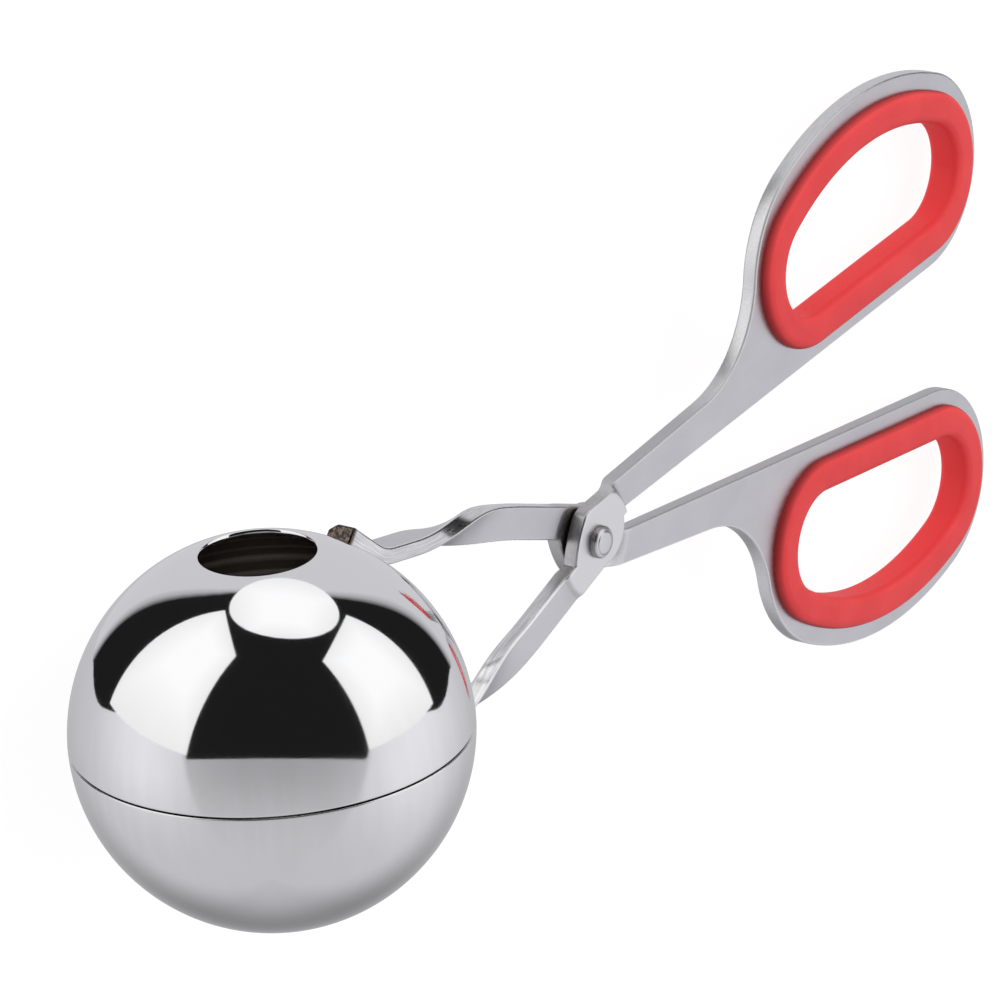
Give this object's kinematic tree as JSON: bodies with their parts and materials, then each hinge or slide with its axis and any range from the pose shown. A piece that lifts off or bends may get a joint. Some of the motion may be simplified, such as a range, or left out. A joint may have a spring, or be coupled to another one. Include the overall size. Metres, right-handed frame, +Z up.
{
  "type": "meatball maker",
  "caption": "Scissor-type kitchen tool whose pierced half-ball cups close on mince to shape a meatball, with lapped flat levers on a pivot rivet and soft finger rings.",
  "frame": {"origin": "bottom centre of the bounding box, on the table that the tool lies on", "axes": "+X from the ball along the tool to the finger rings, +Y across the seam from the lower cup to the upper cup, +Z up from the table; the tool lies on its side, on the ball and the far ends of both rings, so the hinge axis leans 7.9 degrees from +Z"},
  "size_m": [0.1918, 0.0818, 0.0506],
  "materials": {
    "polished_steel": "mirror-polished stainless steel",
    "satin_steel": "satin stainless steel, tumbled edges",
    "red_rubber": "smooth satin red"
  },
  "bodies": {
    "lower_jaw": {"lower_cup": "polished_steel", "lower_cup_lever": "satin_steel", "upper_ring": "red_rubber", "pivot_rivet": "satin_steel"},
    "upper_jaw": {"upper_cup": "polished_steel", "upper_cup_lever": "satin_steel", "lower_ring": "red_rubber"}
  },
  "joints": [
    {"name": "jaw_hinge", "type": "hinge", "parent": "lower_jaw", "child": "upper_jaw", "pos_m": [-0.00302, 0, 0.01589], "axis": [-0.1379, 0, -0.9905], "range_deg": [0, 45]}
  ]
}
